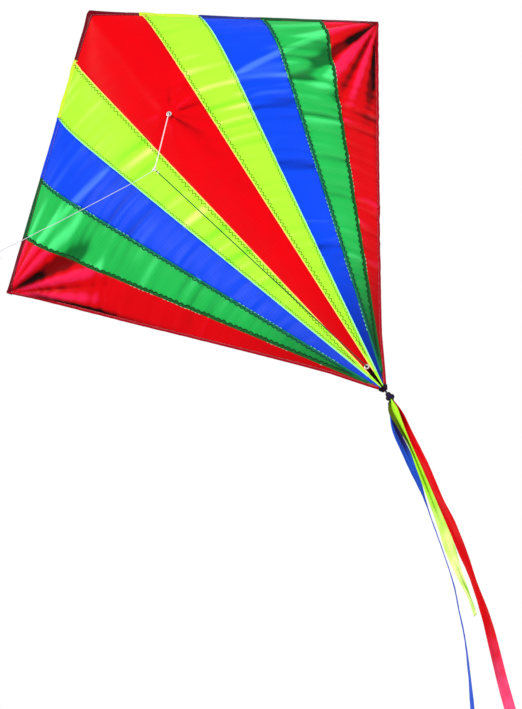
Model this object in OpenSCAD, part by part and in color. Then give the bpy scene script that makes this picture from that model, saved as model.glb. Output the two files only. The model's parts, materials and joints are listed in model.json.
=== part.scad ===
// Bowed diamond kite with a two-leg bridle, a short flying line and three ribbon tails.
// Frame: +Z runs along the spine towards the nose, the sail faces -Y, and the tips bow back to +Y.
// The origin is on the front of the sail, on the spine, level with the cross spar.

/* [Sail] */
// Length of the sail along the spine, from the nose to the tail
sail_length = 690; // [670:5:710]
// Distance from the nose down to the cross spar
spar_drop = 200; // [195:1:205]
// Half the width of the sail when it lies flat
sail_half_width = 340; // [334:1:346]
// Angle by which each wing tip is bent back
sail_bow_angle = 39.2; // [38:0.2:40]
// Straight length of the sail's edge curve next to each tip
tip_straight = 60; // [56:1:64]
// Thickness of the cloth solids
cloth = 0.8; // [0.6:0.1:0.8]
// Depth of the hollow in each trailing edge
trailing_hollow = 6; // [0:1:6]

/* [Frame] */
// Diameter of the spine rod
spine_d = 4; // [3.6:0.1:4]
// Diameter of the cross spar rod
spar_d = 3; // [2.6:0.1:3]
// Outer diameter of the caps on the spine's ends
cap_d = 5.6; // [5.2:0.1:5.6]
// Outer diameter of the nocks on the spar's ends
nock_d = 4.8; // [4.4:0.1:4.8]

/* [Bridle and lines] */
// Diameter of the bridle cord
bridle_d = 1.4; // [1:0.1:1.4]
// Diameter of the flying line and the bow line
line_d = 0.8; // [0.6:0.1:1.2]
// Outer diameter of the eyelets that the bridle passes through
eyelet_d = 7; // [6.4:0.2:7]

/* [Tail] */
// Width of each tail ribbon
ribbon_w = 15; // [12:1:15]
// Thickness of the ribbon solids
ribbon_t = 0.8; // [0.6:0.1:0.8]

/* [Hidden] */
$fn = 48;

// Places along the spine
nose_z = spar_drop;
tail_z = spar_drop - sail_length;
upper_eye_z = 9;
lower_eye_z = -446;

// Depths behind the front of the sail
spine_y = 4.4;
spar_y = 8.2;

// Cross curve of the sail: an arc with a straight stretch at each tip
sail_radius = (sail_half_width - tip_straight) * 180 / (PI * sail_bow_angle);

// The spar is one arc behind the sail, and stops short of the tips
spar_bow_angle = sail_bow_angle + 5;
spar_radius = sail_radius + 14;
spar_end = [spar_radius * sin(spar_bow_angle), spar_y + spar_radius * (1 - cos(spar_bow_angle))];

// Panel seams, as shares of the leading edge from the nose to the tip
seam_centre = 0.171;
seam_yellow = 0.377;
seam_blue = 0.59;
seam_green = 0.803;
seam_gap = 0.0004;
panel_start = 0.015;

// Caps, nocks and pockets
cap_wall_gap = 0.05;
nose_cap_top = nose_z - 10;
nose_cap_length = 16;
tail_cap_top = tail_z + 18;
tail_cap_length = 13;
tail_cap_depth = 10;
tail_eye_z = tail_z + 0.5;
nock_length = 18;
nock_wall_gap = 0.25;
nock_over = 6.5;
bow_line_seat = 3;
bow_line_y = spar_end[1] + bow_line_seat * sin(spar_bow_angle);
pocket_wall = 1.2;
pocket_bore_gap = 0.4;
nose_pocket_length = 28;
tail_pocket_length = 22;
tip_pocket_length = 12;
spine_pocket_front = -1.9;

// Bow line tensioner
tensioner_x = 90;
tensioner_length = 22;

// Eyelets
barrel_d = 4.4;
barrel_bore_d = 3.4;
flange_t = 0.8;
washer_t = 0.5;
// Height of each turn of cord round the spine above its eyelet, clear of the washer
tie_rise = 4.6;

// Tail loop and knot
loop_r = 3;
loop_cord_d = 1.2;
tail_eye_d = loop_cord_d + 1.2;
knot_r = 4.6;
knot_z = tail_eye_z - 2 * loop_r - knot_r + 2;

// Route of each cord, from the sail or the tow ring outwards
tow_point = [-70, -152, -116];
upper_leg_route = [
    [0, -2, 9], [-14, -32, -16], [-28, -62, -41], [-42, -92, -66], [-56, -122, -91], [-69, -150, -114]
];
lower_leg_route = [
    [0, -2, -446], [-7, -17, -413], [-14, -32, -380], [-21, -47, -347], [-28, -62, -314], [-35, -77, -281],
    [-42, -92, -248], [-49, -107, -215], [-56, -122, -182], [-63, -137, -149], [-69.5, -151, -118.5]
];
flying_line_route = [
    [-72, -156, -118], [-88, -190, -133], [-104, -224, -148], [-120, -258, -162], [-136, -292, -176],
    [-152, -326, -190], [-168, -360, -204], [-184, -394, -218], [-200, -428, -232], [-216, -462, -246],
    [-232, -496, -260], [-248, -530, -273], [-264, -564, -287], [-280, -598, -301], [-296, -632, -314],
    [-312, -666, -328]
];
line_end = flying_line_route[len(flying_line_route) - 1];
line_direction = unit([-16, -34, -14]);
tow_ring_r = 2.1;
tow_ring_wire_d = 1.2;
hitch_r = 1.5;
end_knot_r = 1.8;
end_loop_r = 8;

// Route of each ribbon: x, y, z of its middle, its half width there as a share, and the angle of its width
red_route = [
    [0.5, 7.8, -503.6, 0.4, 0], [-3, 12, -522, 0.6, 10], [-9, 17, -546, 0.8, 20], [-18, 23, -590, 1, 30],
    [-30, 29, -638, 1, 30], [-37, 34, -678, 1, 35], [-49, 40, -724, 1, 50], [-59, 44, -757, 1, 60],
    [-74, 50, -802, 1, 40], [-94, 56, -850, 1, 20], [-107, 60, -881, 1, 10], [-119, 62, -912, 1, 5],
    [-137, 66, -960, 1, 0]
];
yellow_route = [
    [-1.5, 1.2, -503.6, 0.6, 0], [-6.5, -1, -522, 0.85, -10], [-12, -1, -542, 0.55, -20],
    [-18, 2, -566, 0.32, -10], [-27, 6, -600, 0.5, 0], [-38, 11, -641, 0.65, 0], [-48, 15, -677, 0.8, 0],
    [-56, 19, -702, 1, 10], [-66, 23, -734, 0.75, 30], [-75, 27, -768, 0.45, 50], [-83, 32, -794, 0.08, 70]
];
blue_route = [
    [-3.6, 4.6, -503, 0.27, 90], [-10, 6, -515, 0.5, 70], [-18, 9, -538, 0.8, 40], [-26, 14, -568, 0.9, 35],
    [-37, 21, -607, 0.9, 60], [-47, 27, -639, 1, 85], [-58, 31, -674, 1, 90], [-66, 35, -700, 1, 90],
    [-79, 41, -737, 1, 90], [-95, 47, -772, 1, 90], [-113, 52, -809, 1, 90], [-135, 58, -847, 1, 85],
    [-157, 62, -883, 1, 75], [-190, 68, -940, 1, 60]
];

function unit(v) = v / norm(v);

// One point of the sail's cross curve, at distance s along it from the spine
function bow_point(s) =
    let (bend = sail_half_width - tip_straight)
    let (on_arc = min(abs(s), bend))
    let (past = abs(s) - on_arc)
    let (a = on_arc / bend * sail_bow_angle)
    [
        sign(s) * (sail_radius * sin(a) + past * cos(a)),
        sail_radius * (1 - cos(a)) + past * sin(a)
    ];

// Front of the sail at a point of the flat cloth: the cross curve, scaled to the cloth's width there
function sail_point(x, z) =
    let (share = max(0.001, z >= 0 ? 1 - z / nose_z : 1 - z / tail_z))
    let (p = bow_point(x / share))
    [share * p[0], share * p[1], z];

// How far the trailing edge is drawn in, at share t of the way from the tail
function edge_pull(g, t) =
    trailing_hollow * max(0, (abs(g) - seam_green) / (1 - seam_green)) * sin(180 * sqrt(t)) * min(1, t / 0.15);

// Sail point on the ray from the tail to share g of a leading edge, g below 0 on the left
function ray_point(g, t) =
    let (x = t * sail_half_width * g - sign(g) * edge_pull(g, t))
    let (z = tail_z + t * (sail_length - spar_drop * abs(g)))
    sail_point(x, z);

// A closed sheet between a grid of front points and a matching grid of rear points
module sheet(front, rear) {
    rows = len(front);
    cols = len(front[0]);
    n = rows * cols;
    points = [for (grid = [front, rear]) for (row = grid) each row];
    function at(r, c) = r * cols + c;
    front_faces = [
        for (r = [0 : rows - 2]) for (c = [0 : cols - 2])
            each [[at(r, c), at(r + 1, c), at(r + 1, c + 1)], [at(r, c), at(r + 1, c + 1), at(r, c + 1)]]
    ];
    rear_faces = [for (f = front_faces) [f[2] + n, f[1] + n, f[0] + n]];
    rim = concat(
        [for (c = [0 : cols - 1]) at(0, c)],
        [for (r = [1 : rows - 1]) at(r, cols - 1)],
        [for (c = [cols - 2 : -1 : 0]) at(rows - 1, c)],
        [for (r = [rows - 2 : -1 : 1]) at(r, 0)]
    );
    m = len(rim);
    rim_faces = [
        for (i = [0 : m - 1])
            let (a = rim[i])
            let (b = rim[(i + 1) % m])
            each [[a, b, b + n], [a, b + n, a + n]]
    ];
    polyhedron(points, concat(front_faces, rear_faces, rim_faces));
}

// Share of the way from the tail at which a ray meets the spar, where the sail bends,
// a little short of it at the tips
function bend_share(g) = min(0.985, -tail_z / (sail_length - spar_drop * abs(g)));

// One cloth panel between two seams that meet at the tail, with a row of points along the bend
module sail_panel(from, to, columns) {
    below = 10;
    above = 10;
    function row_share(g, r) =
        let (bend = bend_share(g))
        r <= below ? panel_start + (bend - panel_start) * r / below : bend + (1 - bend) * (r - below) / above;
    front = [
        for (r = [0 : below + above])
            [for (c = [0 : columns]) let (g = from + (to - from) * c / columns) ray_point(g, row_share(g, r))]
    ];
    sheet(front, [for (row = front) [for (p = row) p + [0, cloth, 0]]]);
}

module left_panel(inner, outer) {
    sail_panel(-outer + seam_gap, -inner - seam_gap, 5);
}

module right_panel(inner, outer) {
    sail_panel(inner + seam_gap, outer - seam_gap, 5);
}

// Ring of points round a route's point i, square to the route
function ring(route, i, d, sides) =
    let (last = len(route) - 1)
    let (way = unit(route[min(i + 1, last)] - route[max(i - 1, 0)]))
    let (a = unit(cross(way, [0, 0, 1])))
    let (b = cross(way, a))
    [for (k = [0 : sides - 1]) route[i] + d / 2 * (cos(360 * k / sides) * a + sin(360 * k / sides) * b)];

// A cord swept along its route
module cord(route, d) {
    sides = 8;
    last = len(route) - 1;
    points = [for (i = [0 : last]) each ring(route, i, d, sides)];
    start_face = [[for (k = [0 : sides - 1]) k]];
    end_face = [[for (k = [sides - 1 : -1 : 0]) last * sides + k]];
    walls = [
        for (i = [0 : last - 1]) for (k = [0 : sides - 1])
            let (a = i * sides + k)
            let (b = i * sides + (k + 1) % sides)
            each [[a, a + sides, b + sides], [a, b + sides, b]]
    ];
    polyhedron(points, concat(start_face, end_face, walls));
}

// A ribbon swept along its route, turning about Z as it goes
module ribbon(route) {
    function corner(p, side, face) =
        let (along = [cos(p[4]), sin(p[4]), 0])
        let (out = [-sin(p[4]), cos(p[4]), 0])
        [p[0], p[1], p[2]] + side * p[3] * ribbon_w / 2 * along + face * ribbon_t / 2 * out;
    function face_grid(face) =
        [for (i = [len(route) - 1 : -1 : 0]) [for (side = [-1, 1]) corner(route[i], side, face)]];
    sheet(face_grid(-1), face_grid(1));
}

// A half sleeve of cloth sewn over a rod's end; the rod lies along X and the cloth faces -Y
module pocket(length, front, rod_d) {
    outer = rod_d / 2 + pocket_wall;
    difference() {
        translate([0, front, -outer]) cube([length, outer - front, 2 * outer]);
        rotate([0, 90, 0]) translate([0, 0, -1]) cylinder(h = length + 2, d = rod_d + 2 * pocket_bore_gap);
    }
}

// Moves a shape drawn along X at the origin to the end of the spar on one side
module at_spar_end(side) {
    mirror([side < 0 ? 1 : 0, 0, 0])
        translate([spar_end[0], spar_end[1], 0]) rotate([0, 0, spar_bow_angle]) children();
}

module panel_centre_red() {
    color("red") difference() {
        sail_panel(-seam_centre + seam_gap, seam_centre - seam_gap, 8);
        for (z = [upper_eye_z, lower_eye_z])
            translate([0, -5, z]) rotate([-90, 0, 0]) cylinder(h = 10, d = barrel_d + 0.2);
    }
}

module panel_left_yellow() { color("greenyellow") left_panel(seam_centre, seam_yellow); }
module panel_left_blue() { color("royalblue") left_panel(seam_yellow, seam_blue); }
module panel_left_green() { color("mediumseagreen") left_panel(seam_blue, seam_green); }
module panel_left_red() { color("red") left_panel(seam_green, 1); }
module panel_right_yellow() { color("greenyellow") right_panel(seam_centre, seam_yellow); }
module panel_right_blue() { color("royalblue") right_panel(seam_yellow, seam_blue); }
module panel_right_green() { color("mediumseagreen") right_panel(seam_blue, seam_green); }
module panel_right_red() { color("red") right_panel(seam_green, 1); }

module nose_pocket() {
    color("firebrick") translate([0, spine_y, nose_cap_top - 1]) rotate([0, 90, 0])
        pocket(nose_pocket_length, spine_pocket_front, cap_d);
}

module tail_pocket() {
    color("firebrick") translate([0, spine_y, tail_cap_top]) rotate([0, -90, 0])
        pocket(tail_pocket_length, spine_pocket_front, cap_d);
}

module tip_pocket(side) {
    at_spar_end(side) translate([-2.5 - tip_pocket_length, 0, 0]) pocket(tip_pocket_length, -1.2, nock_d);
}

module left_tip_pocket() { color("firebrick") tip_pocket(-1); }
module right_tip_pocket() { color("firebrick") tip_pocket(1); }

module spine() {
    bottom = tail_cap_top - tail_cap_depth;
    top = nose_cap_top - 4;
    color("#2a2a2c") translate([0, spine_y, bottom]) cylinder(h = top - bottom, d = spine_d);
}

// The bowed rod: one arc, closest to the sail at its ends
module cross_spar() {
    color("#2a2a2c") translate([0, spar_y + spar_radius, 0]) rotate([0, 0, -90 - spar_bow_angle])
        rotate_extrude(angle = 2 * spar_bow_angle, $fn = 180) translate([spar_radius, 0])
            circle(d = spar_d, $fn = 24);
}

module cross_connector() {
    sleeve_d = 6.6;
    spine_sleeve_top = 5;
    spine_sleeve_length = 25;
    spar_sleeve_length = 28;
    color("#1c1c1e") difference() {
        union() {
            translate([0, spine_y, spine_sleeve_top - spine_sleeve_length])
                cylinder(h = spine_sleeve_length, d = sleeve_d);
            translate([-spar_sleeve_length / 2, spar_y, 0]) rotate([0, 90, 0])
                cylinder(h = spar_sleeve_length, d = sleeve_d);
        }
        translate([0, spine_y, -spine_sleeve_length])
            cylinder(h = 2 * spine_sleeve_length, d = spine_d + 2 * cap_wall_gap);
        translate([-spar_sleeve_length, spar_y, 0]) rotate([0, 90, 0])
            cylinder(h = 2 * spar_sleeve_length, d = spar_d + 0.7);
    }
}

module nose_cap() {
    color("#1c1c1e") translate([0, spine_y, nose_cap_top - nose_cap_length]) difference() {
        union() {
            cylinder(h = nose_cap_length - cap_d / 2, d = cap_d);
            translate([0, 0, nose_cap_length - cap_d / 2]) sphere(d = cap_d);
        }
        translate([0, 0, -1]) cylinder(h = nose_cap_length - 3, d = spine_d + 2 * cap_wall_gap);
    }
}

// Cap with a flat eye below it, which the tail loop passes through
module tail_cap() {
    tab_t = 2.4;
    tab_w = 5.2;
    color("#1c1c1e") difference() {
        union() {
            translate([0, spine_y, tail_cap_top - tail_cap_length]) cylinder(h = tail_cap_length, d = cap_d);
            translate([-tab_t / 2, spine_y - tab_w / 2, tail_eye_z]) cube([tab_t, tab_w, 5]);
            translate([-tab_t / 2, spine_y, tail_eye_z]) rotate([0, 90, 0]) cylinder(h = tab_t, d = tab_w);
        }
        translate([0, spine_y, tail_cap_top - tail_cap_depth])
            cylinder(h = tail_cap_depth + 1, d = spine_d + 2 * cap_wall_gap);
        translate([-tab_t, spine_y, tail_eye_z]) rotate([0, 90, 0]) cylinder(h = 2 * tab_t, d = tail_eye_d);
    }
}

// Nock over the spar's end, cross-drilled beyond it for the bow line
module nock(side) {
    at_spar_end(side) difference() {
        translate([nock_over - nock_length, 0, 0]) rotate([0, 90, 0]) cylinder(h = nock_length, d = nock_d);
        translate([-nock_length, 0, 0]) rotate([0, 90, 0])
            cylinder(h = nock_length, d = spar_d + 2 * nock_wall_gap);
        translate([bow_line_seat, 0, 0]) rotate([0, 0, -spar_bow_angle]) translate([-2 * nock_d, 0, 0])
            rotate([0, 90, 0]) cylinder(h = 4 * nock_d, d = line_d + 0.4);
    }
}

module left_nock() { color("#1c1c1e") nock(-1); }
module right_nock() { color("#1c1c1e") nock(1); }

// The straight line that ties the two nocks together, seated in their cross holes
module bow_line() {
    half = spar_end[0] + bow_line_seat * cos(spar_bow_angle) + 1;
    color("white") translate([-half, bow_line_y, 0]) rotate([0, 90, 0]) cylinder(h = 2 * half, d = line_d);
}

// Flat three-hole slider that takes up the bow line
module bow_tensioner() {
    width = 8;
    thick = 4;
    color("#1c1c1e") translate([tensioner_x, bow_line_y, 0]) difference() {
        union() {
            translate([-tensioner_length / 2 + width / 2, -thick / 2, -width / 2])
                cube([tensioner_length - width, thick, width]);
            for (end = [-1, 1])
                translate([end * (tensioner_length - width) / 2, thick / 2, 0]) rotate([90, 0, 0])
                    cylinder(h = thick, d = width);
        }
        translate([-tensioner_length, 0, 0]) rotate([0, 90, 0])
            cylinder(h = 2 * tensioner_length, d = line_d + 0.8);
        for (end = [-1, 1])
            translate([end * (tensioner_length - width) / 2, thick, 0]) rotate([90, 0, 0])
                cylinder(h = 2 * thick, d = 2 * line_d);
    }
}

// Rolled eyelet: a round-edged flange in front of the sail and a barrel through it
module eyelet(z) {
    edge_r = flange_t / 2;
    front = 0.1 + flange_t;
    translate([0, -front, z]) rotate([-90, 0, 0]) rotate_extrude() {
        translate([barrel_bore_d / 2, 0]) square([(eyelet_d - barrel_bore_d) / 2 - edge_r, flange_t]);
        translate([eyelet_d / 2 - edge_r, edge_r]) circle(r = edge_r, $fn = 24);
        translate([barrel_bore_d / 2, 0]) square([(barrel_d - barrel_bore_d) / 2, front + cloth + 0.3]);
    }
}

module washer(z) {
    translate([0, cloth + 0.3, z]) rotate([-90, 0, 0]) difference() {
        cylinder(h = washer_t, d = eyelet_d);
        translate([0, 0, -1]) cylinder(h = washer_t + 2, d = barrel_d + 0.1);
    }
}

// Turn of bridle cord round the spine
module spine_tie(z) {
    turn_d = 1.1;
    translate([0, spine_y, z]) rotate_extrude() translate([(spine_d + turn_d) / 2 + 0.1, 0])
        circle(d = turn_d, $fn = 24);
}

module upper_eyelet() { color("gainsboro") eyelet(upper_eye_z); }
module upper_washer() { color("gainsboro") washer(upper_eye_z); }
module upper_tie() { color("white") spine_tie(upper_eye_z + tie_rise); }
module lower_eyelet() { color("gainsboro") eyelet(lower_eye_z); }
module lower_washer() { color("gainsboro") washer(lower_eye_z); }
module lower_tie() { color("darkslategray") spine_tie(lower_eye_z + tie_rise); }

module bridle_upper_leg() { color("white") cord(upper_leg_route, bridle_d); }
module bridle_lower_leg() { color("darkslategray") cord(lower_leg_route, bridle_d); }

// Small ring that gathers both legs, lying in the bridle's own plane
module tow_ring() {
    color("whitesmoke") translate(tow_point) rotate([0, 0, atan2(tow_point[1], tow_point[0])])
        rotate([90, 0, 0]) rotate_extrude() translate([tow_ring_r, 0]) circle(d = tow_ring_wire_d, $fn = 24);
}

module line_hitch() {
    color("white") translate(tow_point + 5.4 * line_direction) sphere(r = hitch_r);
}

module flying_line() { color("white") cord(flying_line_route, line_d); }

module line_end_knot() {
    color("white") translate(line_end) sphere(r = end_knot_r);
}

module line_end_loop() {
    color("white") translate(line_end + (end_loop_r + 1) * line_direction)
        rotate([0, 0, atan2(line_direction[1], line_direction[0])]) rotate([90, 0, 0])
            rotate_extrude() translate([end_loop_r, 0]) circle(d = line_d, $fn = 24);
}

module tail_loop() {
    color("black") translate([0, spine_y, tail_eye_z - loop_r]) rotate([90, 0, 0])
        rotate_extrude() translate([loop_r, 0]) circle(d = loop_cord_d, $fn = 24);
}

module tail_knot() {
    color("black") translate([0, spine_y, knot_z]) sphere(r = knot_r);
}

module red_ribbon() { color("crimson") ribbon(red_route); }
module yellow_ribbon() { color("greenyellow") ribbon(yellow_route); }
module blue_ribbon() { color("royalblue") ribbon(blue_route); }

panel_centre_red();
panel_left_yellow();
panel_left_blue();
panel_left_green();
panel_left_red();
panel_right_yellow();
panel_right_blue();
panel_right_green();
panel_right_red();
nose_pocket();
tail_pocket();
left_tip_pocket();
right_tip_pocket();
spine();
cross_spar();
cross_connector();
nose_cap();
tail_cap();
left_nock();
right_nock();
bow_line();
bow_tensioner();
upper_eyelet();
upper_washer();
upper_tie();
lower_eyelet();
lower_washer();
lower_tie();
bridle_upper_leg();
bridle_lower_leg();
tow_ring();
line_hitch();
flying_line();
line_end_knot();
line_end_loop();
tail_loop();
tail_knot();
red_ribbon();
yellow_ribbon();
blue_ribbon();
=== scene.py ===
"""Looks of the bowed diamond kite: striped sail, hems and stitching, frame fittings, cords and ribbons.

Shapes are worked out in millimetres in the part's frame, as in the CAD. They become metres when a mesh or a
curve is made of them.
"""

import json
import math

import bmesh
import bpy
from mathutils import Matrix, Vector, noise


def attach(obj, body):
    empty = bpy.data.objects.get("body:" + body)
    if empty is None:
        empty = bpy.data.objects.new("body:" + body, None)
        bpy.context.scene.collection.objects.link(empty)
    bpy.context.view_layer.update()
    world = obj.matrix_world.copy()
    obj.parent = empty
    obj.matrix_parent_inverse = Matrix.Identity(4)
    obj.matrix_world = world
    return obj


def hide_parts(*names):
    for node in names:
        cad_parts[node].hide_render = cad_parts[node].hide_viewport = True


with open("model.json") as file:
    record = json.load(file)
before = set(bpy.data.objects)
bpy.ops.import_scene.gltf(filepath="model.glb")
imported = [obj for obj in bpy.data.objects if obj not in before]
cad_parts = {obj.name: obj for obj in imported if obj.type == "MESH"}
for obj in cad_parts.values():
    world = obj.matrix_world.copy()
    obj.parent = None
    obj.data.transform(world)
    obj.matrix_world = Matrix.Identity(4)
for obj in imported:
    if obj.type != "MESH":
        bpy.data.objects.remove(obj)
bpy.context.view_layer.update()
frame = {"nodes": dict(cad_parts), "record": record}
MM = 0.001

# ---------------------------------------------------------------- driving sizes in mm, as in the CAD
NOSE_Z = 200.0
TAIL_Z = -490.0
LENGTH = NOSE_Z - TAIL_Z
HALF = 340.0
BOW_ANGLE = math.radians(39.2)
TIP_STRAIGHT = 60.0
SAIL_RADIUS = (HALF - TIP_STRAIGHT) / BOW_ANGLE
TRAILING_HOLLOW = 6.0
# Share of a leading edge at which each seam ends, from the nose to the wing tip
SEAMS = [0.171, 0.377, 0.59, 0.803]
SEAM_BOUNDS = [0, *SEAMS, 1]
# Share of the way from the tail to a leading edge at which the panels start
PANEL_START = 0.015
SIDES = ((-1, "left"), (1, "right"))
SPINE_Y = 4.4
SPAR_Y = 8.2
SPAR_ANGLE = BOW_ANGLE + math.radians(5)
SPAR_RADIUS = SAIL_RADIUS + 14
SPAR_END_Y = SPAR_Y + SPAR_RADIUS * (1 - math.cos(SPAR_ANGLE))
SPAR_END = Vector((SPAR_RADIUS * math.sin(SPAR_ANGLE), SPAR_END_Y, 0))
UPPER_EYE_Z = 9.0
LOWER_EYE_Z = -446.0
KNOT_Z = -498.1
TOW_POINT = Vector((-70, -152, -116))
RIBBON_W = 15.0
BRIDLE_D = 1.4
LINE_D = 0.8

# ---------------------------------------------------------------- camera: degrees, metres, and its lens in mm
VIEW_AZIMUTH = 3.7
VIEW_ELEVATION = 23.51
VIEW_ROLL = -37.74
VIEW_DISTANCE = 8.0
VIEW_AIM = Vector((-0.0975, 0, -0.3449))
VIEW_LENS = 316.6


def add_camera():
    """The camera looks up at the front of the kite, rolled so that the spine leans in the picture."""
    azimuth, elevation, roll = (math.radians(a) for a in (VIEW_AZIMUTH, VIEW_ELEVATION, VIEW_ROLL))
    level_part = math.cos(elevation)
    forward = Vector((math.sin(azimuth) * level_part, math.cos(azimuth) * level_part, math.sin(elevation)))
    level = forward.cross(Vector((0, 0, 1))).normalized()
    upright = level.cross(forward)
    right = math.cos(roll) * level + math.sin(roll) * upright
    up = math.cos(roll) * upright - math.sin(roll) * level
    data = bpy.data.cameras.new("camera")
    data.lens = VIEW_LENS
    data.clip_end = 200
    camera = bpy.data.objects.new("camera", data)
    bpy.context.scene.collection.objects.link(camera)
    turn = Matrix((right, up, -forward)).transposed().to_4x4()
    camera.matrix_world = Matrix.Translation(VIEW_AIM - VIEW_DISTANCE * forward) @ turn
    bpy.context.scene.camera = camera


add_camera()


# ---------------------------------------------------------------- small helpers
def smooth(low, high, value):
    """From 0 below low to 1 above high, without corners."""
    t = min(1, max(0, (value - low) / (high - low)))
    return t * t * (3 - 2 * t)


def swell(rise, fade, value):
    """1 between two spans: it rises over the first and fades over the second."""
    return smooth(*rise, value) * (1 - smooth(*fade, value))


def bell(distance, width):
    """1 at the middle, falling to 0 a few widths away."""
    return math.exp(-((distance / width) ** 2))


def link(name, data, material, body):
    piece = bpy.data.objects.new(name, data)
    bpy.context.scene.collection.objects.link(piece)
    data.materials.append(material)
    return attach(piece, body)


def curve_piece(name, lines, diameter, material, body, round_steps=2):
    """Round threads or cords, one spline for each line of points."""
    data = bpy.data.curves.new(name, "CURVE")
    data.dimensions = "3D"
    data.bevel_depth = diameter / 2 * MM
    data.bevel_resolution = round_steps
    data.use_fill_caps = True
    for points in lines:
        spline = data.splines.new("POLY")
        spline.points.add(len(points) - 1)
        for target, p in zip(spline.points, points):
            target.co = (*(Vector(p) * MM), 1)
    return link(name, data, material, body)


def grid_piece(name, grid, material, body, uvs, thickness=0.3):
    """A smooth cloth surface from rows of points, thickened backwards; uvs are in metres on flat cloth."""
    rows, cols = len(grid), len(grid[0])
    verts = [p * MM for row in grid for p in row]
    faces = [
        (r * cols + c, r * cols + c + 1, (r + 1) * cols + c + 1, (r + 1) * cols + c)
        for r in range(rows - 1)
        for c in range(cols - 1)
    ]
    mesh = bpy.data.meshes.new(name)
    mesh.from_pydata(verts, [], faces)
    mesh.polygons.foreach_set("use_smooth", [True] * len(faces))
    layer = mesh.uv_layers.new(name="cloth")
    flat = [uv for row in uvs for uv in row]
    for corner in mesh.loops:
        layer.data[corner.index].uv = flat[corner.vertex_index]
    piece = link(name, mesh, material, body)
    solid = piece.modifiers.new("thickness", "SOLIDIFY")
    solid.thickness = thickness * MM
    solid.offset = 1
    return piece


# ---------------------------------------------------------------- materials
def new_material(name):
    material = bpy.data.materials.new(name)
    material.use_nodes = True
    tree = material.node_tree
    return material, tree, tree.nodes["Principled BSDF"]


def math_node(tree, operation, a, b):
    """Sum, product and the like of two sockets, or of a socket and a number."""
    node = tree.nodes.new("ShaderNodeMath")
    node.operation = operation
    for socket, value in zip(node.inputs, (a, b)):
        if isinstance(value, (int, float)):
            socket.default_value = value
        else:
            tree.links.new(value, socket)
    return node.outputs[0]


def mix_colour(tree, factor, a, b):
    """Colour a where the factor is 0, and colour b where it is 1."""
    node = tree.nodes.new("ShaderNodeMix")
    node.data_type = "RGBA"
    tree.links.new(factor, node.inputs[0])
    for socket, value in ((node.inputs[6], a), (node.inputs[7], b)):
        if isinstance(value, tuple):
            socket.default_value = (*value, 1)
        else:
            tree.links.new(value, socket)
    return node.outputs[2]


def coordinates(tree, kind):
    return tree.nodes.new("ShaderNodeTexCoord").outputs[kind]


def noise_value(tree, where, scale, detail):
    node = tree.nodes.new("ShaderNodeTexNoise")
    node.inputs["Scale"].default_value = scale
    node.inputs["Detail"].default_value = detail
    tree.links.new(where, node.inputs["Vector"])
    return node.outputs["Fac"]


def bands(tree, where, period, direction="X"):
    """Stripes of the given period in metres."""
    node = tree.nodes.new("ShaderNodeTexWave")
    node.bands_direction = direction
    node.inputs["Scale"].default_value = math.tau / 20 / period
    tree.links.new(where, node.inputs["Vector"])
    return node.outputs["Fac"]


def attribute_value(tree, name):
    node = tree.nodes.new("ShaderNodeAttribute")
    node.attribute_name = name
    return node.outputs["Fac"]


def add_bump(tree, shader, heights, depth):
    bump = tree.nodes.new("ShaderNodeBump")
    bump.inputs["Distance"].default_value = depth
    bump.inputs["Strength"].default_value = 1
    tree.links.new(heights, bump.inputs["Height"])
    tree.links.new(bump.outputs[0], shader.inputs["Normal"])


# Pitches and relief depths in metres; the gloss is a specular level
RIPSTOP_PITCH = 0.005
WEAVE_PITCH = 0.0009
STRAND_PITCH = 0.0016
KNOT_STRAND_PITCH = 0.004
CLOTH_RELIEF = 0.00006
CORD_RELIEF = 0.0001
GRAIN_RELIEF = 0.00004
FINE_RELIEF = 0.00003
CLOTH_GLOSS = 0.03
CORD_GLOSS = 0.12


def sailcloth(name, colour, deep, pale):
    """Thin coated cloth with a ripstop grid and a fine weave.

    The attribute "shade" mixes in the deep tone as painted shade in folds and on a darker tail, and "shine"
    mixes in the pale tone as a painted highlight on crests.
    """
    material, tree, shader = new_material(name)
    where = coordinates(tree, "UV")
    across = bands(tree, where, RIPSTOP_PITCH, "X")
    along = bands(tree, where, RIPSTOP_PITCH, "Y")
    grid = math_node(tree, "POWER", math_node(tree, "MAXIMUM", across, along), 14)
    weft = bands(tree, where, WEAVE_PITCH, "X")
    warp = bands(tree, where, WEAVE_PITCH, "Y")
    weave = math_node(tree, "MULTIPLY", weft, warp)
    cloudy = noise_value(tree, where, 30, 4)
    tone = mix_colour(tree, math_node(tree, "MULTIPLY", cloudy, 0.2), colour, deep)
    tone = mix_colour(tree, math_node(tree, "MULTIPLY", grid, 0.08), tone, deep)
    # Painted highlight on crests, then painted shade in folds and on the darker tail
    tone = mix_colour(tree, attribute_value(tree, "shine"), tone, pale)
    tone = mix_colour(tree, attribute_value(tree, "shade"), tone, deep)
    tree.links.new(tone, shader.inputs["Base Color"])
    rough = math_node(tree, "ADD", math_node(tree, "MULTIPLY", cloudy, 0.2), 0.28)
    tree.links.new(rough, shader.inputs["Roughness"])
    raised_grid = math_node(tree, "MULTIPLY", grid, 0.6)
    raised_weave = math_node(tree, "MULTIPLY", weave, 0.4)
    add_bump(tree, shader, math_node(tree, "ADD", raised_grid, raised_weave), CLOTH_RELIEF)
    shader.inputs["Specular IOR Level"].default_value = CLOTH_GLOSS
    return material


def cordage(name, colour, deep, pitch=STRAND_PITCH):
    """Braided cord or thread: slanted strands over soft tone changes."""
    material, tree, shader = new_material(name)
    where = coordinates(tree, "Object")
    strands = bands(tree, where, pitch, "DIAGONAL")
    fuzz = noise_value(tree, where, 900, 2)
    tone = mix_colour(tree, math_node(tree, "MULTIPLY", strands, 0.5), colour, deep)
    tone = mix_colour(tree, math_node(tree, "MULTIPLY", fuzz, 0.3), tone, deep)
    tree.links.new(tone, shader.inputs["Base Color"])
    shader.inputs["Roughness"].default_value = 0.75
    shader.inputs["Specular IOR Level"].default_value = CORD_GLOSS
    add_bump(tree, shader, strands, CORD_RELIEF)
    return material


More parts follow.
